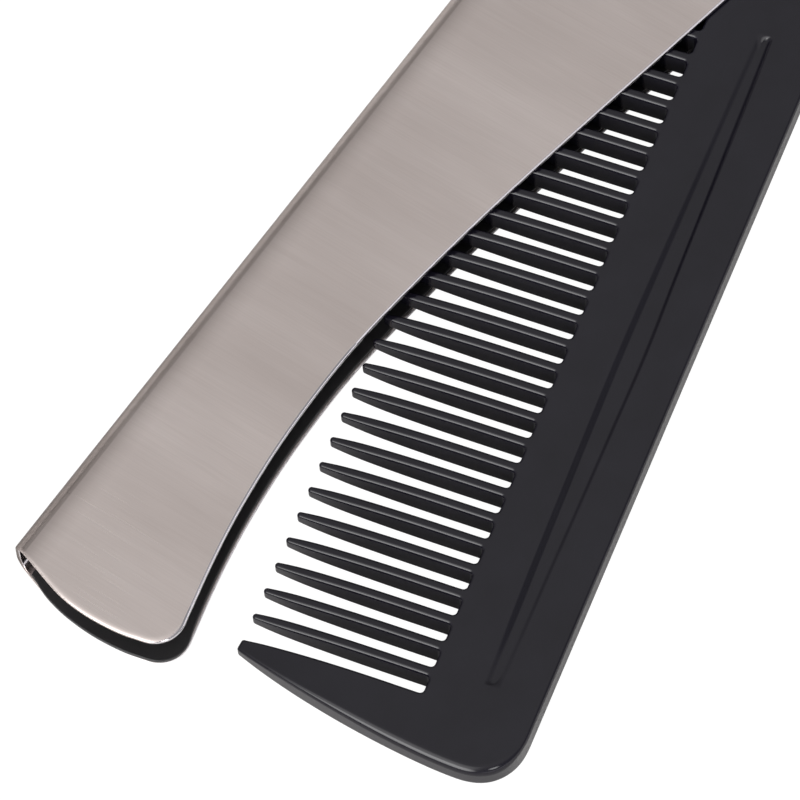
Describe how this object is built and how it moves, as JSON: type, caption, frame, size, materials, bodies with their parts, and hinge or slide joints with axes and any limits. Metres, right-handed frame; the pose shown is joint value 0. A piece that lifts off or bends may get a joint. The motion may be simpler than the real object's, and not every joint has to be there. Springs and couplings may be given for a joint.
{
  "type": "folding pocket comb",
  "caption": "Folding pocket comb: a black toothed blade swings on a rivet out of a handle folded from brushed steel sheet.",
  "frame": {"origin": "a point on the flat outside of the handle's back plate, 40 mm from the free end's nominal line and 7 mm in from the folded spine", "axes": "+X along the handle from its free end to the pivot end, +Y from the open side to the folded spine, +Z from the back plate to the front plate"},
  "size_m": [0.1007, 0.0458, 0.0054],
  "materials": {
    "steel": "stainless sheet brushed across its length, rim softly deburred",
    "liner": "thin black plastic sheet, half gloss",
    "comb": "black moulded plastic, polished",
    "rivet": "polished steel",
    "washer": "natural nylon"
  },
  "bodies": {
    "handle": {"steel_cover": "steel", "back_liner": "liner", "rivet_tube": "rivet", "rivet_pin": "rivet", "front_washer": "washer", "back_washer": "washer"},
    "blade": {"comb_blade": "comb"}
  },
  "joints": [
    {"name": "blade_fold", "type": "hinge", "parent": "handle", "child": "blade", "pos_m": [0.04576, -0.00695, 0.0025], "axis": [0, 0, 1], "range_deg": [-13.6, 166.4]}
  ]
}
